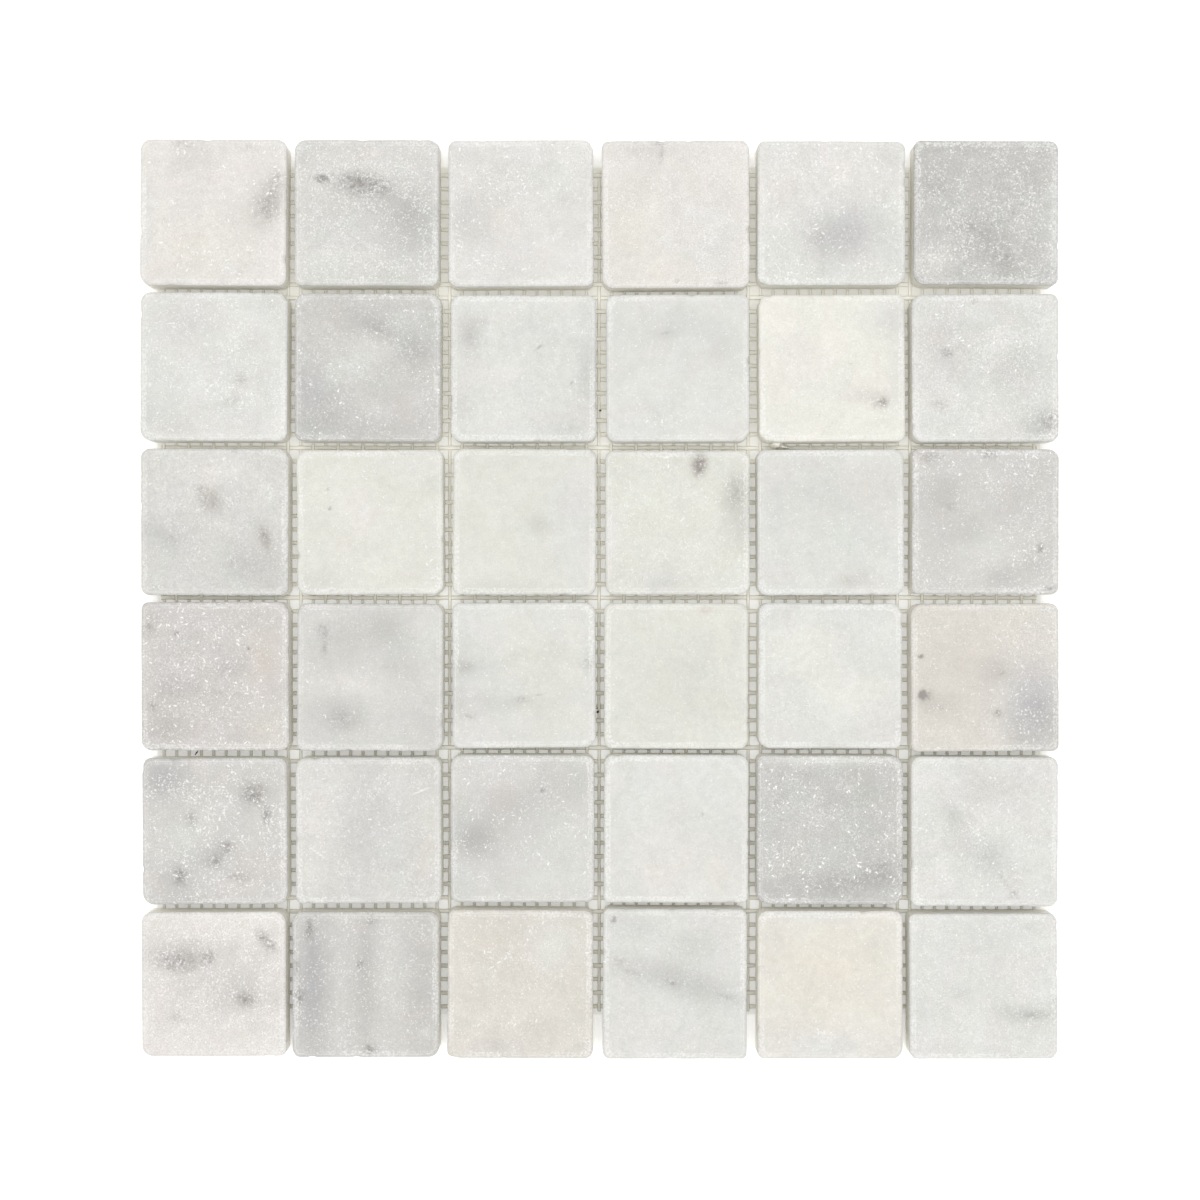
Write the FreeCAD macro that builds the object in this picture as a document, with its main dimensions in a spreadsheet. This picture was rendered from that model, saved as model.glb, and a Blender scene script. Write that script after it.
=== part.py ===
# Mosaic tile sheet: 36 tumbled marble tiles on one open fibreglass net, lying flat
# Millimetres. The origin is under the middle of the sheet, on the surface that it lies on.
# +X runs to the right along a row of tiles, +Y towards the first row, +Z out of the tiles' faces.

import FreeCAD, Part
import math
import os
import Sketcher

# Driving dimensions: the name of each, its value and what it is
SIZES = (
    ("tile_rows", 6, "rows of tiles, the first one at +Y"),
    ("tile_columns", 6, "tiles in a row"),
    ("tile_side", 48.0, "mean length of a tile's side"),
    ("tile_thickness", 10.0, "mean thickness of a tile"),
    ("joint_width", 2.8, "mean gap between two tiles, which takes the grout"),
    ("corner_radius", 3.1, "mean radius of a tile's corners, seen from above"),
    ("face_arris", 0.7, "width of the worn edge round a tile's face"),
    ("side_scatter", 0.3, "how far a tile's side lies in or out at most"),
    ("corner_scatter", 0.3, "how far a corner's radius differs at most"),
    ("thickness_scatter", 0.15, "how far a tile's thickness differs at most"),
    ("laying_shift", 0.2, "how far a tile lies off its row and its column at most"),
    ("laying_turn", 0.3, "how far a tile lies turned at most, degrees"),
    ("net_side_inset", 3.45, "from the sheet's left and right edges in to the net's cut edges"),
    ("net_top_inset", 7.2, "from the sheet's edge at +Y in to the net's cut edge"),
    ("net_bottom_inset", 12.6, "from the sheet's edge at -Y in to the net's cut edge"),
    ("warp_pitch", 4.15, "from one thread along Y to the next"),
    ("warp_width", 1.1, "width of a flat thread along Y"),
    ("weft_pitch", 4.55, "from one thread along X to the next"),
    ("weft_width", 1.4, "width of a flat thread along X"),
    ("thread_thickness", 0.25, "thickness of one layer of threads"),
)

# How far each row lies to the right of its place, and each column towards +Y, as laid by hand
ROW_SHIFTS = (-0.2, 0.2, 0.3, 0.2, -0.1, -0.4)
COLUMN_SHIFTS = (0.4, 0.0, -0.4, -0.2, 0.2, 0.0)

# What is a tile's own: the four sides and four corners count from these numbers
SIDE_KIND = 0
CORNER_KIND = 4
THICKNESS_KIND = 8
SHIFT_X_KIND = 9
SHIFT_Y_KIND = 10
TURN_KIND = 11

# Lengths that several pieces share, as the spreadsheet's own sums
TILE_PITCH = "(sizes.tile_side + sizes.joint_width)"
SHEET_WIDTH = f"(sizes.tile_columns * {TILE_PITCH} - sizes.joint_width)"
SHEET_HEIGHT = f"(sizes.tile_rows * {TILE_PITCH} - sizes.joint_width)"
WEFT_LENGTH = f"({SHEET_WIDTH} - 2 * sizes.net_side_inset)"
WARP_LENGTH = f"({SHEET_HEIGHT} - sizes.net_top_inset - sizes.net_bottom_inset)"


def fill_sheet(doc):
    """Put the driving dimensions into the spreadsheet, one line each."""
    sheet = doc.addObject("Spreadsheet::Sheet", "sizes")
    lines = list(SIZES)
    for number, shift in enumerate(ROW_SHIFTS, 1):
        lines.append((f"row_shift_{number}", shift, f"how far row {number} lies to the right"))
    for number, shift in enumerate(COLUMN_SHIFTS, 1):
        lines.append((f"column_shift_{number}", shift, f"how far column {number} lies towards +Y"))
    for line, (alias, value, meaning) in enumerate(lines, 1):
        sheet.set(f"A{line}", meaning)
        sheet.set(f"B{line}", str(value))
        sheet.setAlias(f"B{line}", alias)
    doc.recompute()
    return sheet


def origin_feature(body, role):
    """One of the body's own origin planes or axes."""
    return next(feature for feature in body.Origin.OriginFeatures if feature.Role == role)


def flat_sketch(body, name):
    """An empty sketch on the body's own XY plane."""
    sketch = body.newObject("Sketcher::SketchObject", name)
    sketch.AttachmentSupport = [(origin_feature(body, "XY_Plane"), "")]
    sketch.MapMode = "FlatFace"
    return sketch


def bind(sketch, kind, places, name, expression):
    """Add a named dimension to the sketch and bind it to the spreadsheet."""
    value = float(sketch.evalExpression(expression))
    index = sketch.addConstraint(Sketcher.Constraint(kind, *places, value))
    sketch.renameConstraint(index, name)
    sketch.setExpression(f"Constraints.{name}", expression)


def scatter(row, column, kind):
    """A number from -1 to 1 that is a tile's own, and the same in each build."""
    return round(math.sin(5.3 * row + 9.7 * column + 2.9 * kind + 1.7 * row * column), 2)


def draw_tile(body, sizes, row, column):
    """A tile seen from above: four straight sides and four round corners, each a little its own."""
    sketch = flat_sketch(body, "outline")
    half = sizes.tile_side / 2
    radius = sizes.corner_radius
    straight = half - radius
    upright = FreeCAD.Vector(0, 0, 1)
    turns = [FreeCAD.Rotation(upright, 90 * quarter) for quarter in range(4)]
    for turn in turns:
        start = turn.multVec(FreeCAD.Vector(-straight, -half, 0))
        end = turn.multVec(FreeCAD.Vector(straight, -half, 0))
        sketch.addGeometry(Part.LineSegment(start, end))
    for quarter, turn in enumerate(turns):
        centre = turn.multVec(FreeCAD.Vector(straight, -straight, 0))
        first = math.radians(270 + 90 * quarter)
        circle = Part.Circle(centre, upright, radius)
        sketch.addGeometry(Part.ArcOfCircle(circle, first, first + math.pi / 2))
    for side in range(4):
        corner = 4 + side
        sketch.addConstraint(Sketcher.Constraint("Tangent", side, 2, corner, 1))
        sketch.addConstraint(Sketcher.Constraint("Tangent", corner, 2, (side + 1) % 4, 1))
        sketch.addConstraint(Sketcher.Constraint("Vertical" if side % 2 else "Horizontal", side))
    reaches = (
        ("near_side", "DistanceY", (0, 1, -1, 1)),
        ("right_side", "DistanceX", (-1, 1, 1, 1)),
        ("far_side", "DistanceY", (-1, 1, 2, 1)),
        ("left_side", "DistanceX", (3, 1, -1, 1)),
    )
    for side, (name, kind, places) in enumerate(reaches):
        share = scatter(row, column, SIDE_KIND + side)
        bind(sketch, kind, places, name, f"sizes.tile_side / 2 + {share} * sizes.side_scatter")
    for side in range(4):
        share = scatter(row, column, CORNER_KIND + side)
        own_radius = f"sizes.corner_radius + {share} * sizes.corner_scatter"
        bind(sketch, "Radius", (4 + side,), f"corner_{side + 1}", own_radius)
    return sketch


def top_face(shape):
    """The name of the highest face."""
    heights = [face.BoundBox.ZMin for face in shape.Faces]
    return f"Face{heights.index(max(heights)) + 1}"


def lay_tile(body, row, column):
    """Put a tile on the net in its row and column, a little off and turned as the hand left it."""
    own_x = scatter(row, column, SHIFT_X_KIND)
    own_y = scatter(row, column, SHIFT_Y_KIND)
    own_turn = scatter(row, column, TURN_KIND)
    row_shift = f"sizes.row_shift_{(row - 1) % len(ROW_SHIFTS) + 1}"
    column_shift = f"sizes.column_shift_{(column - 1) % len(COLUMN_SHIFTS) + 1}"
    steps_x = f"({column} - (sizes.tile_columns + 1) / 2)"
    steps_y = f"((sizes.tile_rows + 1) / 2 - {row})"
    body.Placement.Rotation = FreeCAD.Rotation(FreeCAD.Vector(0, 0, 1), own_turn)
    place = {
        "Base.x": f"{steps_x} * {TILE_PITCH} + {row_shift} + {own_x} * sizes.laying_shift",
        "Base.y": f"{steps_y} * {TILE_PITCH} + {column_shift} + {own_y} * sizes.laying_shift",
        "Base.z": "2 * sizes.thread_thickness",
        "Rotation.Angle": f"{own_turn} * sizes.laying_turn",
    }
    for name, expression in place.items():
        body.setExpression(f"Placement.{name}", expression)


def add_tile(doc, sizes, row, column):
    """One tumbled tile: its outline raised to its thickness, with the edge round its face worn."""
    body = doc.addObject("PartDesign::Body", f"tile_r{row}_c{column}")
    body.Label = f"tile_r{row}_c{column}"
    slab = body.newObject("PartDesign::Pad", "slab")
    slab.Profile = draw_tile(body, sizes, row, column)
    share = scatter(row, column, THICKNESS_KIND)
    slab.setExpression("Length", f"sizes.tile_thickness + {share} * sizes.thickness_scatter")
    doc.recompute()
    arris = body.newObject("PartDesign::Chamfer", "worn_edge")
    arris.Base = (slab, [top_face(slab.Shape)])
    arris.setExpression("Size", "sizes.face_arris")
    body.Tip = arris
    lay_tile(body, row, column)
    return body


def draw_thread(body, axis, length, side_axis, outer_edge, inner_edge):
    """The first thread of a layer seen from above: a long rectangle at the net's cut edge."""
    sketch = flat_sketch(body, "thread")
    half = float(sketch.evalExpression(f"{length} / 2"))
    outer = float(sketch.evalExpression(outer_edge))
    inner = float(sketch.evalExpression(inner_edge))
    corners = [(-half, -outer), (half, -outer), (half, -inner), (-half, -inner)]
    if axis == "Y":
        corners = [(across, along) for along, across in corners]
    for number in range(4):
        start, end = corners[number], corners[(number + 1) % 4]
        sketch.addGeometry(Part.LineSegment(FreeCAD.Vector(*start, 0), FreeCAD.Vector(*end, 0)))
    for number in range(4):
        level = (number % 2 == 0) == (axis == "X")
        sketch.addConstraint(Sketcher.Constraint("Coincident", number, 2, (number + 1) % 4, 1))
        sketch.addConstraint(Sketcher.Constraint("Horizontal" if level else "Vertical", number))
    bind(sketch, f"Distance{axis}", (0, 1, -1, 1), "first_end", f"{length} / 2")
    bind(sketch, f"Distance{axis}", (-1, 1, 0, 2), "last_end", f"{length} / 2")
    bind(sketch, f"Distance{side_axis}", (0, 1, -1, 1), "outer_edge", outer_edge)
    bind(sketch, f"Distance{side_axis}", (2, 1, -1, 1), "inner_edge", inner_edge)
    return sketch


def add_threads(doc, kind, axis, length, room, height):
    """One layer of the net: as many flat threads along an axis as fit side by side in its room."""
    body = doc.addObject("PartDesign::Body", f"mesh_{kind}")
    body.Label = f"mesh_{kind}"
    body.AllowCompound = True
    steps = f"floor(({room} - sizes.{kind}_width) / sizes.{kind}_pitch)"
    spread = f"{steps} * sizes.{kind}_pitch"
    outer_edge = f"({spread} + sizes.{kind}_width) / 2"
    inner_edge = f"({spread} - sizes.{kind}_width) / 2"
    side_axis = "Y" if axis == "X" else "X"
    thread = body.newObject("PartDesign::Pad", "first_thread")
    thread.Profile = draw_thread(body, axis, length, side_axis, outer_edge, inner_edge)
    thread.setExpression("Length", "sizes.thread_thickness")
    doc.recompute()
    layer = body.newObject("PartDesign::LinearPattern", "all_threads")
    layer.Originals = [thread]
    layer.Direction = (origin_feature(body, f"{side_axis}_Axis"), [""])
    layer.setExpression("Length", spread)
    layer.setExpression("Occurrences", f"{steps} + 1")
    body.Tip = layer
    body.setExpression("Placement.Base.y", "(sizes.net_bottom_inset - sizes.net_top_inset) / 2")
    body.setExpression("Placement.Base.z", height)
    return body


def check_document(doc, parts):
    """Stop if any feature failed, or if a piece has no valid shape."""
    failed = [item.Name for item in doc.Objects if {"Invalid", "Error"} & set(item.State)]
    if failed:
        raise RuntimeError(f"failed features: {failed}")
    for part in parts:
        if part.Shape.isNull() or not part.Shape.isValid():
            raise RuntimeError(f"{part.Label} has no valid shape")


def main():
    doc = FreeCAD.newDocument("mosaic_tile_sheet")
    sizes = fill_sheet(doc)
    parts = [
        add_threads(doc, "weft", "X", WEFT_LENGTH, WARP_LENGTH, "0"),
        add_threads(doc, "warp", "Y", WARP_LENGTH, WEFT_LENGTH, "sizes.thread_thickness"),
    ]
    for row in range(1, int(sizes.tile_rows) + 1):
        for column in range(1, int(sizes.tile_columns) + 1):
            parts.append(add_tile(doc, sizes, row, column))
    doc.recompute()
    check_document(doc, parts)
    os.makedirs("parts", exist_ok=True)
    for part in parts:
        part.Shape.exportStep(f"parts/{part.Label}.step")
        print(part.Label, len(part.Shape.Solids), "solids", round(part.Shape.Volume, 2), "mm3")


main()
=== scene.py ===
# Tumbled marble mosaic sheet: 36 tiles on an open net, seen from straight above
import math

import bmesh
import bpy
import numpy as np
from mathutils import Matrix, Vector, noise


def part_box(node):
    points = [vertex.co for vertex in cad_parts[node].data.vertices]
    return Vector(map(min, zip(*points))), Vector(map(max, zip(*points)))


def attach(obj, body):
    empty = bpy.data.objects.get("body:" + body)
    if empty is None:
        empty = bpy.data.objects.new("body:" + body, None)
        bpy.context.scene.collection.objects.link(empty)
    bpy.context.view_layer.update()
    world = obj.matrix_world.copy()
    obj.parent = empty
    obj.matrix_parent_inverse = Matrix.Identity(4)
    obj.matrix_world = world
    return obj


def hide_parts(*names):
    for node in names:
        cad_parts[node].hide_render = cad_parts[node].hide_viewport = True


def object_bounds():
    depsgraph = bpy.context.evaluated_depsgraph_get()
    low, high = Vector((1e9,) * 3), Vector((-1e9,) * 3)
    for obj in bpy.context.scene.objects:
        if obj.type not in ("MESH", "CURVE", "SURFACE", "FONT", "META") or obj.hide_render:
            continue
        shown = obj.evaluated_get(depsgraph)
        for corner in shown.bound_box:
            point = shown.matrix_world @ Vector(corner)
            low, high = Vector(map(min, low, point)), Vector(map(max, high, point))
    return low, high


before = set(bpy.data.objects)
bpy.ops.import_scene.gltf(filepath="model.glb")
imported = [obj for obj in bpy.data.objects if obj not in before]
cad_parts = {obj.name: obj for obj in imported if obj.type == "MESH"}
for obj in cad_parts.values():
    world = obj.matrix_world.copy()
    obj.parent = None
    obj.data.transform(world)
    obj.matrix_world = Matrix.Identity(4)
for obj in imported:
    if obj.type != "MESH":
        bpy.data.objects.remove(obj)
cadLow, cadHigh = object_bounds()
mm = 0.001
fullTurn = 6.283  # in radians
print("frame loaded:", len(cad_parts), "nodes")


def putInScene(name, data):  # a new object at the origin
    made = bpy.data.objects.new(name, data)
    bpy.context.scene.collection.objects.link(made)
    return made


def meshFrom(bm, name):
    mesh = bpy.data.meshes.new(name)
    bm.to_mesh(mesh)
    bm.free()
    return mesh


def readPoints(mesh):
    points = np.zeros(len(mesh.vertices) * 3, np.float32)
    mesh.vertices.foreach_get("co", points)
    return points.reshape(-1, 3).astype(float)


def writePoints(mesh, points):  # from mm
    mesh.vertices.foreach_set("co", (points * mm).astype(np.float32).ravel())


def setValues(mesh, name, values):  # one number at each point
    layer = mesh.attributes.new(name, "FLOAT", "POINT")
    layer.data.foreach_set("value", values.astype(np.float32))


def boxInMm(node):
    low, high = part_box(node)
    return np.array([value / mm for value in low]), np.array([value / mm for value in high])


def noiseAt(points, scale, seed):  # from about -1 to 1
    values = [noise.noise((x * scale + seed, y * scale - 2 * seed, z * scale)) for x, y, z in points]
    return np.array(values) * 1.6


studio = {
    "cameraHeight": 0.7105,  # above the floor, in metres
    "cameraAside": (0.00033, -0.00033),
    "lens": 63.8,  # in mm
    "sensor": 36,  # its width, in mm
    "overheadStrength": 1.5,  # the large soft light straight above
    "overheadAngle": 50,  # its apparent width, in degrees
    "overheadColour": (1.0, 0.998, 0.99),
    "roomStrength": 0.9,  # white room all round
    "roomColour": (1.0, 0.995, 0.985, 1),
}


def newCamera():
    camera = bpy.data.cameras.new("camera")
    camera.lens = studio["lens"]
    camera.sensor_width = studio["sensor"]
    camera.clip_start = 0.01
    camera.clip_end = 20
    cameraObject = putInScene("camera", camera)
    cameraObject.location = (*studio["cameraAside"], studio["cameraHeight"])
    bpy.context.scene.camera = cameraObject


def newLights():
    world = bpy.data.worlds.new("room")
    world.use_nodes = True
    background = world.node_tree.nodes["Background"]
    background.inputs["Color"].default_value = studio["roomColour"]
    background.inputs["Strength"].default_value = studio["roomStrength"]
    bpy.context.scene.world = world
    sun = bpy.data.lights.new("overhead", "SUN")
    sun.energy = studio["overheadStrength"]
    sun.angle = math.radians(studio["overheadAngle"])
    sun.color = studio["overheadColour"]
    putInScene("overhead", sun)


newCamera()
newLights()
bpy.context.scene.view_settings.view_transform = "Standard"
print("camera and lights set")


class Wire:  # a socket that can be used in sums
    def __init__(self, look, socket):
        self.look = look
        self.socket = socket

    def __add__(self, other):
        return self.look.maths("ADD", self, other)

    def __sub__(self, other):
        return self.look.maths("SUBTRACT", self, other)

    def __rsub__(self, other):
        return self.look.maths("SUBTRACT", other, self)

    def __mul__(self, other):
        return self.look.maths("MULTIPLY", self, other)

    __radd__ = __add__
    __rmul__ = __mul__


grainLook = {
    "faintest": 0.25,  # how strong the faintest grain is
    "varies": 0.7,  # and how much more the strongest has
    "softEdge": (0.6, 1.1),  # where a grain fades away, in half lengths
    "onset": (0.0, 0.3),  # how it comes in as their share grows
}


class Look:  # one material and its nodes
    def __init__(self, name):
        self.material = bpy.data.materials.new(name)
        self.material.use_nodes = True
        self.tree = self.material.node_tree
        self.shader = self.tree.nodes["Principled BSDF"]

    def node(self, kind, settings=None, inputs=None, output=0):
        made = self.tree.nodes.new(kind)
        for name, value in (settings or {}).items():
            setattr(made, name, value)
        for name, value in (inputs or {}).items():
            self.feed(made.inputs[name], value)
        return Wire(self, made.outputs[output])

    def part(self, wire, name):  # another output of the same node
        return Wire(self, wire.socket.node.outputs[name])

    def feed(self, socket, value):
        if isinstance(value, Wire):
            self.tree.links.new(value.socket, socket)
        else:
            socket.default_value = value

    def maths(self, operation, *values):
        settings = {"operation": operation}
        return self.node("ShaderNodeMath", settings, dict(enumerate(values)))

    def smooth(self, value, low, high, bottom=0.0, top=1.0):  # a soft step from low to high
        settings = {"interpolation_type": "SMOOTHSTEP"}
        names = {"Value": value, "From Min": low, "From Max": high, "To Min": bottom, "To Max": top}
        return self.node("ShaderNodeMapRange", settings, names)

    def mix(self, share, first, second):
        settings = {"data_type": "RGBA", "clamp_factor": True}
        return self.node("ShaderNodeMix", settings, {0: share, 6: first, 7: second}, 2)

    def shift(self, vector, by):
        return self.node("ShaderNodeVectorMath", {"operation": "ADD"}, {0: vector, 1: by})

    def times(self, vector, by):
        return self.node("ShaderNodeVectorMath", {"operation": "MULTIPLY"}, {0: vector, 1: by})

    def vector(self, x=0.0, y=0.0, z=0.0):
        return self.node("ShaderNodeCombineXYZ", None, {"X": x, "Y": y, "Z": z})

    def attribute(self, name, output="Fac"):
        return self.node("ShaderNodeAttribute", {"attribute_name": name}, output=output)

    def millimetres(self):
        place = self.node("ShaderNodeTexCoord", output="Object")
        return self.times(place, (1000, 1000, 1000))

    def cloud(self, place, scale, detail=3.0, rough=0.5, warp=0.0, output="Fac"):
        names = {"Vector": place, "Scale": scale, "Detail": detail, "Roughness": rough, "Distortion": warp}
        return self.node("ShaderNodeTexNoise", None, names, output)

    def grains(self, place, scale, length, width, share):  # separate grains, each lying its own way
        cell = self.node("ShaderNodeTexVoronoi", None, {"Vector": place, "Scale": scale})
        chance = self.node("ShaderNodeSeparateColor", None, {"Color": self.part(cell, "Color")})
        ends = {0: place, 1: self.part(cell, "Position")}
        local = self.node("ShaderNodeVectorMath", {"operation": "SUBTRACT"}, ends)
        lying = {"Vector": local, "Angle": chance * fullTurn}
        local = self.node("ShaderNodeVectorRotate", {"rotation_type": "Z_AXIS"}, lying)
        local = self.times(local, (1 / length, 1 / width, 1 / width))
        away = self.node("ShaderNodeVectorMath", {"operation": "LENGTH"}, {0: local}, "Value")
        shown = self.smooth(share - self.part(chance, "Green"), *grainLook["onset"])
        strong = self.part(chance, "Blue") * grainLook["varies"] + grainLook["faintest"]
        return self.smooth(away, *grainLook["softEdge"], 1, 0) * shown * strong

    def bump(self, height, strength, distance):
        names = {"Height": height, "Strength": strength, "Distance": distance}
        return self.node("ShaderNodeBump", None, names)

    def finish(self, colour, rough, normal=None, **constants):
        self.feed(self.shader.inputs["Base Color"], colour)
        self.feed(self.shader.inputs["Roughness"], rough)
        if normal is not None:
            self.feed(self.shader.inputs["Normal"], normal)
        for name, value in constants.items():
            self.shader.inputs[name].default_value = value
        return self.material


def tone(red, green, blue):  # a tone as a screen shows it, made linear
    return tuple((value / 255) ** 2.2 for value in (red, green, blue))


paper = {  # the table paper; it glows evenly, and more under the net as a painted glow; places are in mm from the sheet's middle
    "size": 6.0,  # in metres
    "tones": ((0.93, 0.93, 0.925, 1), (0.95, 0.95, 0.945, 1)),
    "grain": 0.4,  # how fine it is, per mm
    "glow": 0.12,
    "roughness": 0.8,
    "netMiddle": 2.7,  # how far up the net's middle is
    "netSides": (147.0, 148.0),  # it ends between these, to either side
    "netEnds": (141.0, 142.0),  # and up and down from its middle
    "paintedShadeUnderNet": (0.60, 0.60, 0.59, 1),  # painted shade: the floor is darker there
    "gluedPaintedShade": (0.60, 0.59, 0.54, 1),  # painted shade there too, tinted by glue where it has closed the net
    "glueUp": (10, 90),  # the glue grows from here to here
    # the painted glow is this much weaker where glue has closed the net
    "glueShade": 0.2,
    "paintedNetGlow": 2.1,  # painted glow: how much light the floor gives off under the net, against the table's
    "paintedNetGlowBlue": 0.97,
    "paintedLightUp": (-70, 30, 0.90, 1.12),  # painted light: the glow under the net and the threads grow lighter upwards, from here to here, by these
}


def newFloor():
    bm = bmesh.new()
    bmesh.ops.create_grid(bm, x_segments=1, y_segments=1, size=paper["size"] / 2)
    floor = putInScene("floor", meshFrom(bm, "floor"))
    look = Look("tablePaper")
    place = look.millimetres()
    axes = look.node("ShaderNodeSeparateXYZ", None, {"Vector": place})
    right, up = look.part(axes, "X"), look.part(axes, "Y")
    # painted shade and painted glow: under the net the floor is darker and glows
    under = look.smooth(look.maths("ABSOLUTE", right), *paper["netSides"], 1, 0)
    fromMiddle = look.maths("ABSOLUTE", up - paper["netMiddle"])
    under = under * look.smooth(fromMiddle, *paper["netEnds"], 1, 0)
    glue = look.smooth(up, *paper["glueUp"])
    colour = look.mix(look.cloud(place, paper["grain"], 2.0), *paper["tones"])
    colour = look.mix(under, colour, look.mix(glue, paper["paintedShadeUnderNet"], paper["gluedPaintedShade"]))
    lit = look.smooth(up, *paper["paintedLightUp"]) * (1 - glue * paper["glueShade"]) * paper["paintedNetGlow"]
    glow = look.mix(under, (1, 1, 1, 1), look.vector(lit, lit, lit * paper["paintedNetGlowBlue"]))
    look.feed(look.shader.inputs["Emission Color"], glow)
    look.shader.inputs["Emission Strength"].default_value = paper["glow"]
    floor.data.materials.append(look.finish(colour, paper["roughness"]))


newFloor()
print("floor laid")


tileLook = {  # in mm
    "cornerRadii": (2.2, 4.0),  # seen from above
    "cornersFade": 12,  # how far in from the outline the corners are rounded
    "arris": (1.2, 1.9),  # how far the tumbled edge reaches in from the outline
    "arrisScale": 0.07,  # how fast that changes along it
    "arrisDepth": 0.6,  # how far it reaches down the side, as a share of that
    "backArris": 0.5,
    "turn": 0.3,  # degrees at most, as the CAD tiles are turned
    "turnKind": 11,  # the turn's number in the rule that lays them
    "edgeZone": 1.5,  # where the lines across the edge lie
    "edgeSteps": 6,
    "borderSteps": 12,  # lines across the edge and the zone beside it
    "borderGap": 0.45,  # between the first of that zone
    "gapGrowth": 1.13,
    "middleSteps": 27,  # lines from there to the middle
    "sideRows": 8,
    "wander": 0.13,  # how far the outline strays inwards
    "wanderScale": 0.055,
    "wanderFade": 5,  # how far in the stray fades
    "nibble": 0.06,
    "nibbleScale": 0.32,
    "nibbleFade": 1.5,
    "chips": (6, 13),
    "chipSize": (0.7, 1.9),
    "chipDepth": (0.12, 0.26),  # as a share of its size
    "hollow": 0.07,  # how uneven the face is
    "hollowScale": 0.09,
}


def borderInsets():  # distances of the border's lines from the outline
    insets = []
    for step in range(tileLook["edgeSteps"] + 1):
        angle = math.radians(90 * step / tileLook["edgeSteps"])
        insets.append(tileLook["edgeZone"] * (1 - math.cos(angle)))
    gap = tileLook["borderGap"]
    while len(insets) < tileLook["borderSteps"]:
        insets.append(insets[-1] + gap)
        gap *= tileLook["gapGrowth"]
    return insets


def newBlank():  # an even tile: a grid, sides drawn down from it, and a closed back
    lines = 2 * (tileLook["borderSteps"] - 1 + tileLook["middleSteps"])
    bm = bmesh.new()
    bmesh.ops.create_grid(bm, x_segments=lines, y_segments=lines, size=1.0)
    rim = [edge for edge in bm.edges if edge.is_boundary]
    for row in range(tileLook["sideRows"]):
        drawn = bmesh.ops.extrude_edge_only(bm, edges=rim)["geom"]
        corners = [item for item in drawn if isinstance(item, bmesh.types.BMVert)]
        bmesh.ops.translate(bm, verts=corners, vec=(0, 0, -1))
        rim = [item for item in drawn if isinstance(item, bmesh.types.BMEdge) and item.is_boundary]
    bmesh.ops.edgenet_fill(bm, edges=rim)
    bmesh.ops.recalc_face_normals(bm, faces=bm.faces)
    mesh = meshFrom(bm, "blank")
    mesh.shade_smooth()
    return mesh, lines


def gridPlaces(steps, lines, half):  # where a grid's lines run across a tile, in mm
    insets = borderInsets()
    fromEdge = np.append(insets, np.linspace(insets[-1], half, tileLook["middleSteps"] + 1)[1:])
    number = np.minimum(steps, lines - steps)
    return np.sign(steps - lines / 2) * (half - fromEdge[number])


def scatter(row, column, kind):  # the rule that lays the CAD tiles
    return math.sin(5.3 * row + 9.7 * column + 2.9 * kind + 1.7 * row * column)


laidOff = {  # sides that stand out from the rule above: left, right, top and bottom, in mm outwards
    (1, 1): (-0.3, 0.3, 0, 0.7), (1, 3): (0.4, 0, 0.4, -0.7), (1, 4): (0.4, 0.4, 0.4, 0),
    (1, 5): (-0.4, 0.7, 0, 0), (1, 6): (-1.2, 0.4, 0, 0), (2, 1): (0, 0, 0.6, 1.0),
    (2, 2): (0, -0.3, 0.8, 0.6), (2, 3): (-0.5, 0, 0.6, 0), (2, 4): (-0.8, -0.2, 0.6, 0),
    (2, 5): (0, 0.4, 0, 0.2), (2, 6): (0.5, 0.4, 0.3, 0), (3, 1): (0, 0.2, 0, 0.8),
    (3, 2): (0, 0.8, -0.3, -0.4), (3, 3): (-1.1, 0.3, 0.3, 0), (3, 4): (-0.5, -0.2, 0, -0.2),
    (3, 5): (0.7, 0.3, -0.5, 0), (3, 6): (0, 0.2, 0, 0.3), (4, 1): (0, 0.5, 0.3, 0.8),
    (4, 2): (-0.7, 0.7, -0.2, 1.1), (4, 3): (-0.5, 0.3, 0.5, -1.2), (4, 4): (-0.3, -0.7, 0.5, 0),
    (4, 5): (0, -0.3, -0.4, 0.2), (4, 6): (0.7, 0.4, 0, 0.4), (5, 1): (-0.4, 0.4, -0.4, 0.5),
    (5, 2): (-0.3, 0.2, 0.3, 0), (5, 3): (-0.8, -0.3, 1.5, -0.5), (5, 4): (-0.6, -0.3, 1.3, 0.1),
    (5, 5): (-0.2, 0, 0.5, 1.1), (5, 6): (0, 0.4, 0, 1.4), (6, 1): (-0.4, 0.5, -0.5, -0.4),
    (6, 2): (0.7, 0.3, -0.3, -0.2), (6, 3): (0, 0, 0.8, 0.2), (6, 4): (-0.6, -0.4, 1.2, 0.9),
    (6, 5): (-0.6, 0, 0.4, 0.9), (6, 6): (0.5, 0.3, -0.4, 0.6),
}


def roundCorners(x, y, inset, halfX, halfY, radii):  # ring by ring; gives the way outwards too
    quarter = (x > 0).astype(int) + 2 * (y > 0).astype(int)
    radius = np.maximum(radii[quarter] * (1 - inset / tileLook["cornersFade"]), 1e-6)
    centreX, centreY = halfX - inset - radius, halfY - inset - radius
    upright = halfX - np.abs(x) <= halfY - np.abs(y)
    along = np.where(upright, np.abs(y) - centreY, np.abs(x) - centreX)
    angle = np.clip(along / radius, 0, 1) * math.pi / 4
    angle = np.where(upright, angle, math.pi / 2 - angle)
    rounded = along > 0
    outX = np.where(rounded, np.cos(angle), upright.astype(float)) * np.sign(x)
    outY = np.where(rounded, np.sin(angle), (~upright).astype(float)) * np.sign(y)
    x = np.where(rounded, centreX * np.sign(x) + radius * outX, x)
    y = np.where(rounded, centreY * np.sign(y) + radius * outY, y)
    return x, y, outX, outY


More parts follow.
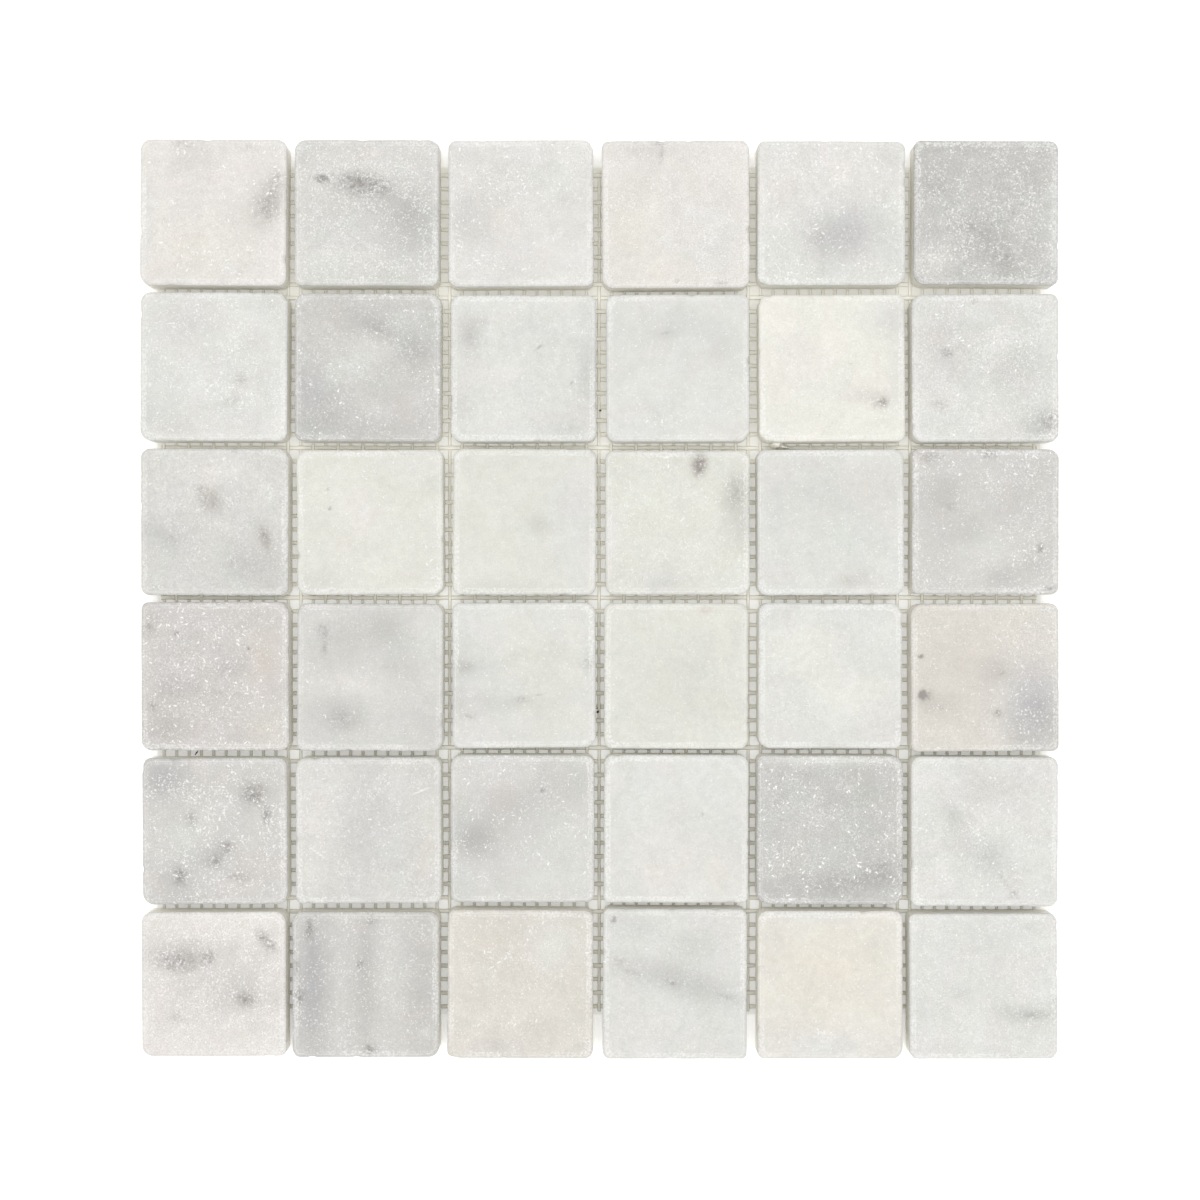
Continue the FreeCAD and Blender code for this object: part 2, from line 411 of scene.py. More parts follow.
def levelTile(inset, level, arris, height):  # the worn edge, the sides and the back
    worn = np.clip(1 - inset / arris, 0, 1)
    depth = arris * tileLook["arrisDepth"]
    drop = depth * (1 - np.sqrt(1 - worn ** 2))
    rows, back = tileLook["sideRows"], tileLook["backArris"]
    lowest = back * 0.3  # the row above the back
    share = np.clip(level / (rows - 2), 0, 1)
    z = np.where(level > 0, height - depth - (height - depth - back) * share, height - drop)
    z = np.where(level == rows - 1, lowest, z)
    z = np.where(level == rows, 0, z)
    tuck = np.where(level == rows, back, np.where(level == rows - 1, lowest, 0))
    return z, tuck


def wearTile(points, outX, outY, inset, level, tuck, seed, rng):
    stray = (0.2 + 0.5 * noiseAt(points, tileLook["wanderScale"], seed)) * tileLook["wander"]
    nibble = (0.3 + 0.5 * noiseAt(points, tileLook["nibbleScale"], seed + 5)) * tileLook["nibble"]
    stray = stray * np.exp(-inset / tileLook["wanderFade"])
    inward = tuck + stray + nibble * np.exp(-inset / tileLook["nibbleFade"])
    points[:, 0] -= outX * inward
    points[:, 1] -= outY * inward
    face = (level == 0) & (inset > 0.2)
    uneven = np.clip(0.5 + 0.5 * noiseAt(points, tileLook["hollowScale"], seed + 7), 0, 1)
    points[:, 2] -= np.where(face, uneven * tileLook["hollow"], 0)
    rim = np.flatnonzero((inset < 0.9) & (level < 2))
    for chip in range(rng.integers(*tileLook["chips"])):
        centre = points[rng.choice(rim)].copy()
        size = rng.uniform(*tileLook["chipSize"])
        depth = size * rng.uniform(*tileLook["chipDepth"])
        away = np.linalg.norm((points - centre) * (1, 1, 0.8), axis=1) / size
        bite = depth * np.clip(1 - away ** 2, 0, 1)
        points[:, 0] -= outX * bite * 0.8 * (inset < 3)
        points[:, 1] -= outY * bite * 0.8 * (inset < 3)
        points[:, 2] -= bite * 0.7 * (level < 3)


def shapeTile(blankPoints, lines, row, column, low, high):
    rng = np.random.default_rng(100 * row + column)
    seed = 10.0 * row + column
    left, right, top, bottom = laidOff.get((row, column), (0, 0, 0, 0))
    low, high = low - (left, bottom, 0), high + (right, top, 0)
    turn = math.radians(tileLook["turn"] * scatter(row, column, tileLook["turnKind"]))
    spare = abs(math.sin(turn)) * 20  # room to turn in
    halfX, halfY = (high[0] - low[0]) / 2 - spare, (high[1] - low[1]) / 2 - spare
    steps = np.rint((blankPoints[:, :2] + 1) / 2 * lines).astype(int)
    x, y = gridPlaces(steps[:, 0], lines, halfX), gridPlaces(steps[:, 1], lines, halfY)
    inset = np.minimum(halfX - np.abs(x), halfY - np.abs(y))
    radii = rng.uniform(*tileLook["cornerRadii"], 4)
    x, y, outX, outY = roundCorners(x, y, inset, halfX, halfY, radii)
    level = np.rint(-blankPoints[:, 2]).astype(int)
    around = np.stack([x, y, np.zeros(len(x))], 1)
    arris = np.interp(noiseAt(around, tileLook["arrisScale"], seed + 3), (-1, 1), tileLook["arris"])
    z, tuck = levelTile(inset, level, arris, high[2] - low[2])
    points = np.stack([x, y, z], 1)
    wearTile(points, outX, outY, inset, level, tuck, seed, rng)

    flat = points.copy()
    points[:, 0] = flat[:, 0] * math.cos(turn) - flat[:, 1] * math.sin(turn)
    points[:, 1] = flat[:, 0] * math.sin(turn) + flat[:, 1] * math.cos(turn)
    points += ((high[0] + low[0]) / 2, (high[1] + low[1]) / 2, low[2])
    for axis in (0, 1):
        points[:, axis] = np.clip(points[:, axis], cadLow[axis] / mm, cadHigh[axis] / mm)
    unit = np.stack([x / (2 * halfX) + 0.5, 0.5 - y / (2 * halfY)], 1)
    return points, inset, level, unit


tones = {  # as a screen shows them in the photograph's light
    "pinkWhite": (236, 232, 228),
    "coolWhite": (230, 230, 226),
    "paleGrey": (221, 220, 216),
    "midGrey": (211, 210, 206),
    "darkGrey": (204, 203, 200),
    "cream": (235, 232, 224),
    "yellowCream": (242, 241, 232),
    "greenCream": (232, 232, 224),
    "beige": (227, 223, 215),
    "warmBeige": (220, 213, 204),
    "greenWhite": (227, 229, 223),
    "pinkGrey": (217, 213, 210),
    "purpleGrey": (206, 205, 207),
    "ashGrey": (216, 214, 210),
    "brownGrey": (186, 176, 168),
    "sand": (237, 230, 217),
    "light": (231, 232, 227),
}

# Each tile: its tone, how many white flecks it has, and its marks, in percent from its left and its top.
# A mark: what it is, where its middle is, its width and height, its turn in degrees, and its strength.
# A mark that is named for a tone turns the stone to it.
tiles = {
    (1, 1): ("pinkWhite", 0.55, [
        ("stain", 87, 46, 11, 13, 15, 0.8), ("stain", 93, 28, 7, 10, 15, 0.7),
        ("shade", 85, 42, 17, 22, 10, 0.65), ("stain", 30, 4, 13, 5, 0, 0.55),
        ("stain", 74, 5, 4, 4, 30, 0.6), ("pinkGrey", 33, 14, 22, 15, 0, 0.5),
        ("cream", 35, 76, 45, 28, 0, 0.8), ("coolWhite", 5, 50, 8, 40, 0, 0.6)]),
    (1, 2): ("paleGrey", 1.05, [
        ("stain", 44, 30, 27, 11, 10, 0.75), ("stain", 43, 30, 10, 6, 0, 0.5),
        ("stain", 60, 33, 10, 7, 20, 0.5), ("stain", 19, 27, 4.5, 3, 0, 1.4),
        ("shade", 84, 56, 24, 28, -20, 0.7), ("purpleGrey", 82, 58, 20, 24, 0, 0.35),
        ("shade", 55, 40, 34, 14, 15, 0.4), ("flecks", 52, 31, 26, 14, 0, 0.7),
        ("light", 22, 85, 32, 20, 0, 0.6), ("pinkWhite", 60, 8, 20, 8, 0, 0.5)]),
    (1, 3): ("coolWhite", 0.7, [
        ("pinkWhite", 50, 50, 80, 80, 0, 0.55), ("pinkGrey", 25, 45, 28, 35, 0, 0.3),
        ("shade", 14, 58, 16, 22, 0, 0.3), ("flecks", 45, 28, 30, 20, 0, 0.35),
        ("flecks", 75, 75, 30, 25, 0, -0.5), ("shade", 80, 40, 8, 8, 0, 0.3),
        ("shade", 37, 43, 7, 6, 0, 0.25), ("greenWhite", 72, 30, 20, 20, 0, 0.7),
        ("shade", 15, 12, 12, 8, 0, 0.2)]),
    (1, 4): ("pinkWhite", 0.9, [
        ("cream", 15, 62, 26, 42, 0, 1.0), ("cream", 46, 88, 32, 16, 0, 0.9),
        ("coolWhite", 78, 70, 22, 26, 0, 0.7), ("flecks", 72, 62, 30, 30, 0, 0.35),
        ("flecks", 30, 85, 40, 14, 0, -0.4), ("shade", 25, 6, 26, 9, 0, 0.4),
        ("stain", 40.5, 9, 1.6, 10, 5, 0.8), ("stain", 37, 2, 6, 2, 0, 0.8),
        ("shade", 50, 50, 5, 25, 0, 0.2), ("shade", 85, 38, 9, 9, 0, 0.25),
        ("stain", 51, 95.5, 2, 1.8, 0, 1.0), ("stain", 80, 97, 5, 1.8, 0, 0.8)]),
    (1, 5): ("coolWhite", 0.7, [
        ("shade", 60, 68, 32, 21, -15, 0.36), ("stain", 41, 67, 6, 9, 0, 0.42),
        ("shade", 43, 68, 12, 14, 0, 0.35), ("purpleGrey", 60, 64, 28, 24, -15, 0.65),
        ("pinkWhite", 30, 25, 60, 30, 0, 0.7), ("flecks", 25, 18, 25, 16, 0, 0.4),
        ("shade", 85, 10, 10, 10, 0, 0.2)]),
    (1, 6): ("darkGrey", 1.4, [
        ("stain", 40, 60, 13, 6, 20, 0.6), ("stain", 62, 82, 12, 10, 40, 0.7),
        ("shade", 55, 72, 28, 18, 35, 0.5), ("shade", 14, 32, 14, 14, 0, 0.45),
        ("pinkWhite", 15, 82, 15, 14, 0, 0.6), ("flecks", 60, 75, 28, 18, 35, 0.5),
        ("flecks", 72, 50, 22, 10, 0, 0.5), ("light", 96, 60, 6, 40, 0, 0.5),
        ("shade", 30, 4, 25, 6, 0, 0.3)]),
    (2, 1): ("coolWhite", 0.65, [
        ("stain", 68, 58, 6, 5, 0, 0.7), ("stain", 62, 73, 11, 4, -10, 0.55),
        ("shade", 90, 6, 12, 8, 0, 0.4), ("pinkGrey", 27, 20, 22, 20, 0, 0.35),
        ("shade", 30, 26, 10, 10, 0, 0.2), ("flecks", 72, 66, 22, 10, 0, 0.5),
        ("shade", 22, 90, 16, 8, 0, 0.3), ("shade", 5, 78, 6, 20, 0, 0.3)]),
    (2, 2): ("midGrey", 0.7, [
        ("shade", 58, 24, 28, 9, 28, 0.75), ("stain", 57, 24, 10, 5, 28, 0.5),
        ("shade", 83, 38, 14, 14, 0, 0.5), ("shade", 14, 72, 24, 28, 0, 0.6),
        ("purpleGrey", 14, 68, 24, 26, 0, 0.6), ("shade", 48, 92, 40, 10, 0, 0.35),
        ("pinkGrey", 32, 12, 16, 14, 0, 0.6), ("light", 42, 46, 34, 13, -35, 0.6),
        ("pinkGrey", 75, 80, 22, 20, 0, 0.5)]),
    (2, 3): ("coolWhite", 0.35, [
        ("shade", 13, 27, 11, 18, 0, 0.75), ("stain", 13, 28, 6, 11, 0, 0.4),
        ("stain", 22, 18, 6, 4, 0, 0.5), ("shade", 94, 50, 9, 38, 0, 0.55),
        ("vein", 61, 35.5, 2.8, 1.3, -40, 1.3), ("vein", 83, 60, 2.6, 1.3, -60, 0.9),
        ("shade", 7, 76, 10, 14, 0, 0.35), ("shade", 80, 92, 16, 7, 0, 0.35),
        ("greenWhite", 60, 50, 25, 30, 0, 0.5)]),
    (2, 4): ("coolWhite", 0.1, [
        ("shade", 42, 25, 32, 16, 0, 0.3), ("vein", 41, 26.5, 9, 1.4, -5, 0.75),
        ("shade", 41, 27, 12, 4, -5, 0.3), ("shade", 80, 36, 12, 14, 0, 0.35),
        ("flecks", 35, 85, 25, 10, 0, 0.4), ("light", 60, 75, 35, 20, 0, 0.4)]),
    (2, 5): ("yellowCream", 0.25, [
        ("paleGrey", 90, 16, 20, 20, 0, 0.8), ("stain", 85, 73, 3.5, 3, 20, 0.95),
        ("brownGrey", 85, 72, 6, 5, 20, 0.35), ("stain", 80, 75, 9, 6, 0, 0.55),
        ("pinkGrey", 72, 69, 18, 7, 0, 0.6), ("pinkWhite", 30, 45, 20, 25, 0, 0.6),
        ("vein", 63, 47.5, 3, 1.3, 5, 0.8), ("coolWhite", 95, 50, 8, 35, 0, 0.7)]),
    (2, 6): ("coolWhite", 0.85, [
        ("pinkGrey", 20, 32, 24, 28, 0, 0.6), ("stain", 24, 40, 5, 4, 20, 1.0),
        ("stain", 18, 75, 10, 5, 0, 0.6), ("shade", 72, 50, 20, 14, 0, 0.5),
        ("flecks", 60, 40, 30, 20, 0, 0.5), ("stain", 94, 86, 13, 11, -20, 0.85),
        ("shade", 84, 90, 20, 12, 0, 0.7), ("stain", 42, 5, 6, 3, 0, 0.7),
        ("shade", 50, 50, 60, 60, 0, 0.12)]),
    (3, 1): ("paleGrey", 0.75, [
        ("stain", 47, 36, 11, 8, 30, 0.6), ("stain", 40, 27, 6, 3, 20, 0.6),
        ("brownGrey", 48, 34, 10, 10, 30, 0.45), ("brownGrey", 84, 60, 5, 10, -15, 0.6),
        ("stain", 84, 60, 4, 9, -15, 0.75), ("shade", 77, 78, 24, 22, 0, 0.6),
        ("stain", 62, 77, 5, 4, 0, 0.6), ("shade", 22, 60, 22, 15, 0, 0.3),
        ("purpleGrey", 15, 60, 22, 22, 0, 0.3), ("pinkWhite", 50, 15, 30, 12, 0, 0.6),
        ("light", 85, 30, 12, 20, 0, 0.5), ("stain", 22, 62, 6, 6, 0, 0.4)]),
    (3, 2): ("greenCream", 0.3, [
        ("pinkWhite", 45, 45, 13, 20, 0, 0.7), ("beige", 36, 62, 10, 8, 0, 0.5),
        ("stain", 22.5, 40.5, 1.4, 1.4, 0, 1.5), ("stain", 21, 27, 1.4, 1.4, 0, 0.9),
        ("stain", 76, 3, 8, 2, 0, 0.6), ("shade", 15, 90, 15, 8, 0, 0.25),
        ("light", 85, 12, 15, 10, 0, 0.5)]),
    (3, 3): ("greenCream", 0.12, [
        ("coolWhite", 87, 50, 24, 60, 0, 1.0), ("shade", 60, 52, 8, 8, 0, 0.45),
        ("shade", 35, 95, 34, 7, 0, 0.35), ("shade", 50, 50, 60, 60, 0, 0.1)]),
    (3, 4): ("greenCream", 0.3, [
        ("stain", 65, 10, 5.5, 8.5, 8, 1.2), ("brownGrey", 65, 10, 6, 9, 8, 0.8),
        ("stain", 90, 28, 8, 15, 10, 0.6), ("shade", 92, 36, 13, 26, 0, 0.75),
        ("shade", 95, 60, 6, 12, 0, 0.35), ("coolWhite", 40, 90, 28, 12, 0, 0.8),
        ("pinkWhite", 4, 60, 8, 22, 0, 0.9), ("shade", 40, 92, 12, 5, 0, 0.3)]),
    (3, 5): ("coolWhite", 0.2, [
        ("beige", 78, 27, 20, 16, 0, 0.45), ("stain", 63, 90, 11, 6, 0, 0.35),
        ("brownGrey", 66, 90, 14, 7, 0, 0.25), ("shade", 50, 30, 40, 28, 0, 0.3),
        ("greenWhite", 50, 60, 40, 30, 0, 0.6)]),
    (3, 6): ("ashGrey", 0.7, [
        ("stain", 12, 6, 12, 6, 0, 0.8), ("stain", 52, 4, 6, 4, 0, 1.0),
        ("shade", 22, 30, 18, 20, 0, 0.45), ("stain", 25, 40, 7, 5, 0, 0.5),
        ("shade", 38, 58, 17, 14, 0, 0.35), ("stain", 87, 68, 3, 4, 0, 1.3),
        ("shade", 84, 78, 14, 10, 0, 0.4), ("shade", 62, 88, 14, 10, 0, 0.6),
        ("stain", 93, 96, 4, 2, 0, 1.2), ("flecks", 75, 22, 20, 18, 0, 0.5),
        ("flecks", 80, 62, 18, 28, 0, 0.4), ("flecks", 35, 58, 24, 30, 0, -0.5),
        ("greenWhite", 50, 72, 30, 20, 0, 0.5), ("purpleGrey", 70, 15, 20, 14, 0, 0.4)]),
    (4, 1): ("pinkGrey", 1.0, [
        ("shade", 40, 50, 60, 70, 0, 0.22), ("stain", 6, 15, 7, 10, 0, 0.75),
        ("stain", 8, 70, 5, 5, 0, 0.85), ("shade", 22, 58, 14, 12, 0, 0.45),
        ("shade", 18, 85, 14, 10, 0, 0.5), ("shade", 60, 44, 12, 7, 0, 0.4),
        ("warmBeige", 82, 38, 16, 28, 0, 0.65), ("flecks", 88, 45, 10, 30, 0, -0.8),
        ("flecks", 42, 50, 26, 36, 0, 0.45), ("stain", 24, 21, 1.5, 1.8, 0, 1.8),
        ("stain", 73, 31, 1.6, 1.6, 0, 1.2), ("beige", 85, 85, 16, 16, 0, 0.8)]),
    (4, 2): ("paleGrey", 0.3, [
        ("stain", 30, 78, 16, 10, 8, 0.55), ("shade", 32, 77, 21, 16, 0, 0.55),
        ("shade", 60, 17, 20, 18, 0, 0.65), ("stain", 17, 18, 6, 6, 0, 0.75),
        ("stain", 19, 30, 3, 8, 0, 0.7), ("shade", 70, 45, 15, 12, 0, 0.35),
        ("light", 88, 18, 18, 20, 0, 0.4), ("pinkWhite", 35, 55, 22, 11, 0, 0.6),
        ("shade", 30, 25, 22, 20, 0, 0.35), ("shade", 85, 80, 20, 20, 0, 0.25)]),
    (4, 3): ("coolWhite", 0.1, [
        ("greenCream", 62, 42, 36, 36, 0, 1.0), ("stain", 49, 66.5, 8, 3, 0, 0.75),
        ("vein", 61, 63.5, 8, 1.4, -8, 0.7), ("shade", 50, 50, 80, 80, 0, 0.14),
        ("shade", 10, 44, 14, 8, 0, 0.6), ("stain", 10, 44, 6, 4, 0, 0.5),
        ("stain", 12, 78, 8, 3.5, 0, 0.55), ("shade", 38, 70, 32, 8, 0, 0.4),
        ("stain", 95, 41, 6, 9, 0, 0.65), ("shade", 5, 62, 7, 30, 0, 0.35),
        ("greenCream", 75, 80, 25, 15, 0, 0.9)]),
    (4, 4): ("greenCream", 0.05, [
        ("shade", 45, 52, 50, 45, 0, 0.22), ("warmBeige", 70, 5, 6, 3, 0, 1.0),
        ("coolWhite", 10, 50, 8, 50, 0, 0.5)]),
    (4, 5): ("coolWhite", 0.25, [
        ("yellowCream", 32, 35, 22, 26, 0, 0.9), ("yellowCream", 70, 62, 32, 16, 0, 0.7),
        ("light", 50, 50, 60, 60, 0, 0.3), ("flecks", 30, 72, 16, 14, 0, 0.3)]),
    (4, 6): ("beige", 0.6, [
        ("warmBeige", 32, 30, 30, 30, 0, 0.45), ("purpleGrey", 84, 68, 26, 40, 0, 0.85),
        ("shade", 50, 50, 80, 80, 0, 0.07), ("shade", 82, 80, 26, 22, 0, 0.6),
        ("stain", 7.2, 61, 1.7, 2.2, 30, 6.0), ("flecks", 7.5, 61, 5, 5, 0, -3.0),
        ("stain", 10, 62, 5.5, 5, 0, 1.0), ("shade", 15, 67, 16, 9, 0, 0.5),
        ("stain", 6.5, 35.5, 2.2, 1.4, 0, 2.0), ("stain", 58, 74, 3, 3, 0, 1.2),
        ("shade", 58, 45, 14, 12, 0, 0.5), ("stain", 61, 46.5, 3, 2, 0, 0.8),
        ("flecks", 85, 25, 15, 30, 0, 0.7), ("flecks", 82, 85, 18, 12, 0, 0.6),
        ("flecks", 32, 50, 28, 40, 0, -0.5), ("stain", 20, 70, 3, 2, 30, 0.6)]),
    (5, 1): ("ashGrey", 0.9, [
        ("stain", 77, 25, 9, 8, 0, 1.2), ("shade", 77, 22, 15, 13, 0, 0.5),
        ("stain", 86, 40, 3.5, 7, 0, 1.1), ("stain", 34, 42, 5.5, 5, 0, 0.85),
        ("stain", 58.5, 60, 6, 5, 0, 1.0), ("stain", 50, 70, 6, 5, 0, 1.0),
        ("shade", 47, 66, 17, 12, 0, 0.55), ("stain", 26, 80, 6, 8.5, 0, 1.1),
        ("shade", 25, 82, 13, 14, 0, 0.6), ("stain", 66, 81, 10, 3.5, 0, 1.0),
        ("shade", 17, 15, 20, 16, 0, 0.7), ("purpleGrey", 17, 15, 18, 14, 0, 0.6),
        ("pinkGrey", 75, 75, 22, 20, 0, 0.7), ("light", 25, 56, 18, 14, 0, 0.5),
        ("shade", 30, 97, 20, 4, 0, 0.5)]),
    (5, 2): ("paleGrey", 0.5, [
        ("pinkWhite", 15, 30, 20, 34, 0, 0.7), ("purpleGrey", 50, 45, 20, 50, 0, 0.35),
        ("hairline", 15, 65, 15, 1.3, 36, 0.8), ("hairline", 86, 23, 13, 1.3, -22, 0.75),
        ("beige", 88, 50, 14, 40, 0, 0.4), ("light", 12, 75, 14, 20, 0, 0.5)]),
    (5, 3): ("paleGrey", 0.55, [
        ("shade", 17, 57, 20, 16, 0, 0.75), ("stain", 17, 60, 12, 9, 0, 0.32),
        ("shade", 38, 40, 36, 20, -20, 0.4), ("pinkGrey", 35, 32, 22, 14, 0, 0.6),
        ("shade", 82, 20, 24, 18, 0, 0.35), ("light", 65, 85, 36, 14, 0, 0.7),
        ("greenWhite", 80, 62, 20, 20, 0, 0.6), ("stain", 64, 24, 1.8, 1.8, 0, 1.4),
        ("flecks", 50, 20, 30, 18, 0, 0.3), ("flecks", 60, 88, 35, 12, 0, -0.4),
        ("shade", 50, 50, 80, 80, 0, 0.1)]),
    (5, 4): ("coolWhite", 0.12, [
        ("pinkWhite", 40, 72, 28, 25, 0, 0.7), ("cream", 80, 76, 20, 20, 0, 0.8),
        ("vein", 95, 24, 7, 1.3, 50, 0.85), ("stain", 68, 40, 1.3, 1.3, 0, 1.1),
        ("greenWhite", 30, 30, 25, 25, 0, 0.6)]),
    (5, 5): ("darkGrey", 1.2, [
        ("greenWhite", 50, 50, 60, 60, 0, 0.15), ("shade", 60, 85, 46, 13, -5, 0.6),
        ("stain", 62, 86, 25, 8, -8, 0.5), ("stain", 85, 76, 12, 12, 0, 0.55),
        ("shade", 72, 32, 26, 18, 0, 0.35), ("flecks", 55, 45, 40, 22, 35, 0.45),
        ("flecks", 75, 22, 16, 12, 0, -0.7), ("light", 50, 3, 50, 5, 0, 0.7),
        ("flecks", 45, 93, 40, 6, 0, -0.5)]),
    (5, 6): ("coolWhite", 0.7, [
        ("vein", 27, 37, 11, 2, 60, 0.55), ("shade", 29, 40, 18, 7, 58, 0.45),
        ("shade", 50, 66, 32, 15, 42, 0.3), ("vein", 64, 84, 14, 2.8, 55, 0.5),
        ("stain", 70, 92, 5, 4, 0, 0.65), ("pinkGrey", 60, 20, 32, 20, 0, 0.5),
        ("purpleGrey", 52, 68, 28, 14, 42, 0.3), ("flecks", 45, 60, 20, 15, 42, 0.5)]),
    (6, 1): ("pinkWhite", 1.25, [
        ("stain", 27, 33, 22, 9, 3, 0.8), ("stain", 25, 37, 10, 5, 0, 0.5),
        ("stain", 47, 31, 5, 5, 0, 0.8), ("shade", 30, 28, 24, 12, 0, 0.6),
        ("stain", 86, 20, 6, 12, -38, 1.1), ("stain", 72, 60, 7, 6, 0, 1.1),
        ("shade", 72, 60, 15, 11, 0, 0.55), ("stain", 25, 73, 9, 6, 0, 0.55),
        ("pinkGrey", 50, 50, 50, 40, 0, 0.6), ("shade", 60, 50, 40, 40, 0, 0.2)]),
    (6, 2): ("ashGrey", 0.5, [
        ("shade", 50, 50, 80, 80, 0, 0.22), ("shade", 14, 50, 12, 60, 0, 0.65),
        ("purpleGrey", 14, 50, 12, 50, 0, 0.8), ("light", 33, 60, 6, 45, 0, 0.4),
        ("shade", 50, 38, 7, 50, 0, 0.5), ("light", 68, 50, 10, 50, 0, 0.35),
        ("stain", 12, 12, 3.5, 8, 0, 1.3), ("stain", 3, 38, 2.8, 5, 0, 1.2),
        ("stain", 5, 57, 3.8, 7, 0, 1.2), ("stain", 46.5, 36, 2.4, 4, 0, 1.4),
        ("stain", 53, 95, 5, 5, 0, 1.2), ("stain", 55, 6, 5, 5, 0, 0.7),
        ("shade", 90, 50, 12, 50, 0, 0.35), ("pinkWhite", 90, 83, 5, 4, 0, 0.9),
        ("stain", 81, 68, 2, 3, 0, 0.6)]),
    (6, 3): ("beige", 0.4, [
        ("warmBeige", 35, 22, 32, 22, 0, 0.35), ("greenWhite", 73, 26, 18, 20, 0, 0.65),
        ("flecks", 50, 42, 16, 22, 0, 0.4), ("pinkGrey", 30, 92, 22, 8, 0, 0.7)]),
    (6, 4): ("coolWhite", 0.35, [
        ("shade", 50, 47, 52, 12, 14, 0.75), ("vein", 20, 42, 15, 2.2, 16, 0.75),
        ("stain", 48, 49.5, 6, 3, 14, 0.9), ("stain", 85, 58, 10, 3.5, 10, 0.6),
        ("shade", 50, 50, 80, 80, 0, 0.1), ("stain", 10, 35, 6, 5, 0, 0.6),
        ("stain", 7, 7, 2.6, 2.6, 0, 1.5), ("pinkWhite", 30, 80, 30, 12, 0, 0.5),
        ("shade", 20, 12, 22, 10, 0, 0.35), ("shade", 62, 24, 20, 10, 0, 0.25)]),
    (6, 5): ("cream", 0.12, [
        ("sand", 50, 42, 42, 34, 0, 0.7), ("coolWhite", 50, 92, 50, 12, 0, 0.9),
        ("coolWhite", 40, 3, 30, 5, 0, 0.8), ("flecks", 55, 85, 40, 10, 0, 0.4)]),
    (6, 6): ("coolWhite", 0.6, [
        ("shade", 78, 69, 22, 7, 2, 0.65), ("stain", 86, 69, 12, 3.5, 0, 0.7),
        ("stain", 97, 60, 3, 5, 0, 0.8), ("shade", 35, 55, 10, 8, 0, 0.25),
        ("shade", 60, 15, 22, 14, 0, 0.25)]),
}


paint = {
    "falloff": {"stain": 1.1, "other": 1.4},  # how fast a mark fades away from its middle
    "last": 6,  # the number of the last row and the last column
    "sideStep": 0.6,  # how far below the face each row of a side counts as, in mm
    "openZone": (0.02, 0.06),  # how far in a side with no tile beside it counts, as a share of the tile
}


def markField(unit, mark):  # 1 at a mark's middle, falling to 0 outside it
    kind, fromLeft, fromTop, width, tall, turn, strength = mark
    angle = math.radians(turn)
    right, down = unit[:, 0] * 100 - fromLeft, unit[:, 1] * 100 - fromTop
    along = (right * math.cos(angle) + down * math.sin(angle)) / width
    across = (down * math.cos(angle) - right * math.sin(angle)) / tall
    falloff = paint["falloff"].get(kind, paint["falloff"]["other"])
    return np.exp(-falloff * (along ** 2 + across ** 2)) * strength


def paintTile(mesh, row, column, inset, level, unit):
    toneName, flecks, marks = tiles[(row, column)]
    colour = np.tile(np.array(tone(*tones[toneName])), (len(unit), 1))
    fields = {name: np.zeros(len(unit)) for name in ("stain", "vein", "hairline", "shade", "flecks")}
    for mark in marks:
        kind = mark[0]
        field = markField(unit, mark)
        if kind in fields:
            fields[kind] += field
        else:
            colour += (np.array(tone(*tones[kind])) - colour) * np.clip(field, 0, 1)[:, None]
    fields["flecks"] += flecks
    fields["rim"] = np.where(level == 0, inset, -paint["sideStep"] * level)
    toBorder = np.full(len(unit), 1.0)  # how far from a side that has no tile beside it
    for place, across in ((column, unit[:, 0]), (row, unit[:, 1])):
        if place == 1:
            toBorder = np.minimum(toBorder, across)
        if place == paint["last"]:
            toBorder = np.minimum(toBorder, 1 - across)
    fields["open"] = np.interp(toBorder, paint["openZone"], (1, 0))
    fields["seed"] = np.full(len(unit), 37.0 * row + 61.0 * column)
    for name, values in fields.items():
        setValues(mesh, name, values)
    layer = mesh.attributes.new("stoneTone", "FLOAT_COLOR", "POINT")
    rgba = np.concatenate([colour, np.ones((len(unit), 1))], 1)
    layer.data.foreach_set("color", rgba.astype(np.float32).ravel())


marbleLook = {
    "stoneInLight": 0.700,  # from a screen tone to the stone's own colour
    "cloudiness": 0.22,  # how much lighter and darker the stone's clouds are
    "mottling": 0.24,
    "graininess": 0.28,
    "fleckedGrain": 0.38,  # and how much more where there are flecks
    "shadeDepth": 0.25,
    "blush": 0.07,  # how far the clouds stray to pink and green
    "warmth": 0.07,  # and to warm and cold
    "stainColour": (0.20, 0.186, 0.178, 1),
    "stainCover": 0.78,
    "veinColour": (0.22, 0.22, 0.225, 1),
    "veinCover": 0.65,
    "frostColour": (0.76, 0.76, 0.745, 1),
    "bandCover": 0.66,  # the frosted band along the worn edge
    "dottedLine": 1.9,  # how far in its dotted line runs, in mm
    "edgeLine": 1.05,  # and the thin line along the edge
    "paintedSideLight": (0.92, 0.905, 0.84, 1),  # painted light: the sides are painted paler, to lift the shade in the joints
    "paintedSideLightCover": 0.85,
    "openSides": 0.75,  # how much less of it the sheet's outer sides have
    "roughness": 0.60,
    "edgeRougher": 0.3,
    "relief": 0.00014,
    "flecks": {  # cells in a mm, and a grain's half length and half width in mm
        "rice": (0.68, 0.80, 0.30),
        "dots": (0.55, 0.40, 0.34),
        "fine": (1.3, 0.50, 0.22),
    },
    "whiteness": {
        "rice": 0.95, "dots": 1.0, "fine": 0.65, "frost": 0.24,
        "hairline": 0.9, "dotted": 0.6, "edge": 0.32,
    },
}


